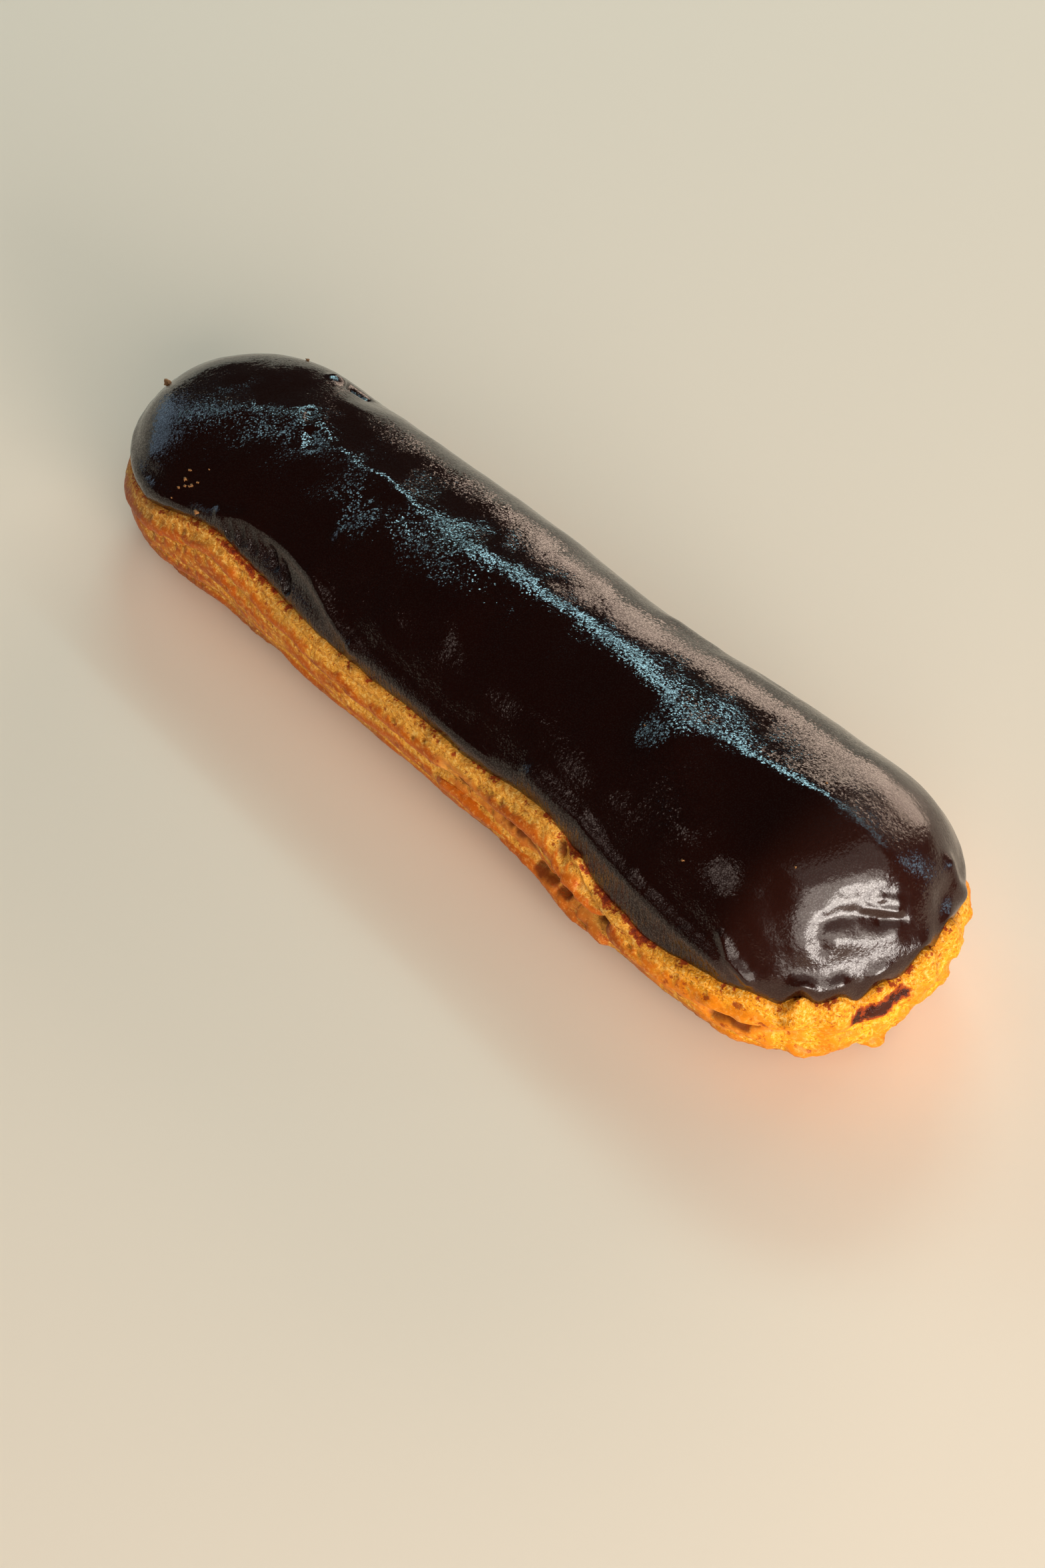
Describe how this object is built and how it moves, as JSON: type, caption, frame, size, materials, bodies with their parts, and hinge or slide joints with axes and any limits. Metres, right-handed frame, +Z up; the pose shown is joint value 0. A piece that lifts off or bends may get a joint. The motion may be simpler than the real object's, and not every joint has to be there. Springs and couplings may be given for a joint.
{
  "type": "chocolate eclair",
  "caption": "Finger-shaped choux pastry with blunt round ends, piped ridges and a split side, under a thick glossy skin of dark chocolate icing.",
  "frame": {"origin": "on the surface that the eclair lies on, below the middle of its box", "axes": "+X along the eclair to its blunter end, -Y towards the long side with the split, +Z up"},
  "size_m": [0.1478, 0.0416, 0.0304],
  "materials": {
    "choux_crust": "baked golden-brown choux crust, matt with a faint sheen",
    "dark_icing": "set dark chocolate icing, glossy with a fine grain"
  },
  "bodies": {
    "root": {"choux_bun": "choux_crust", "chocolate_icing": "dark_icing"}
  },
  "joints": []
}
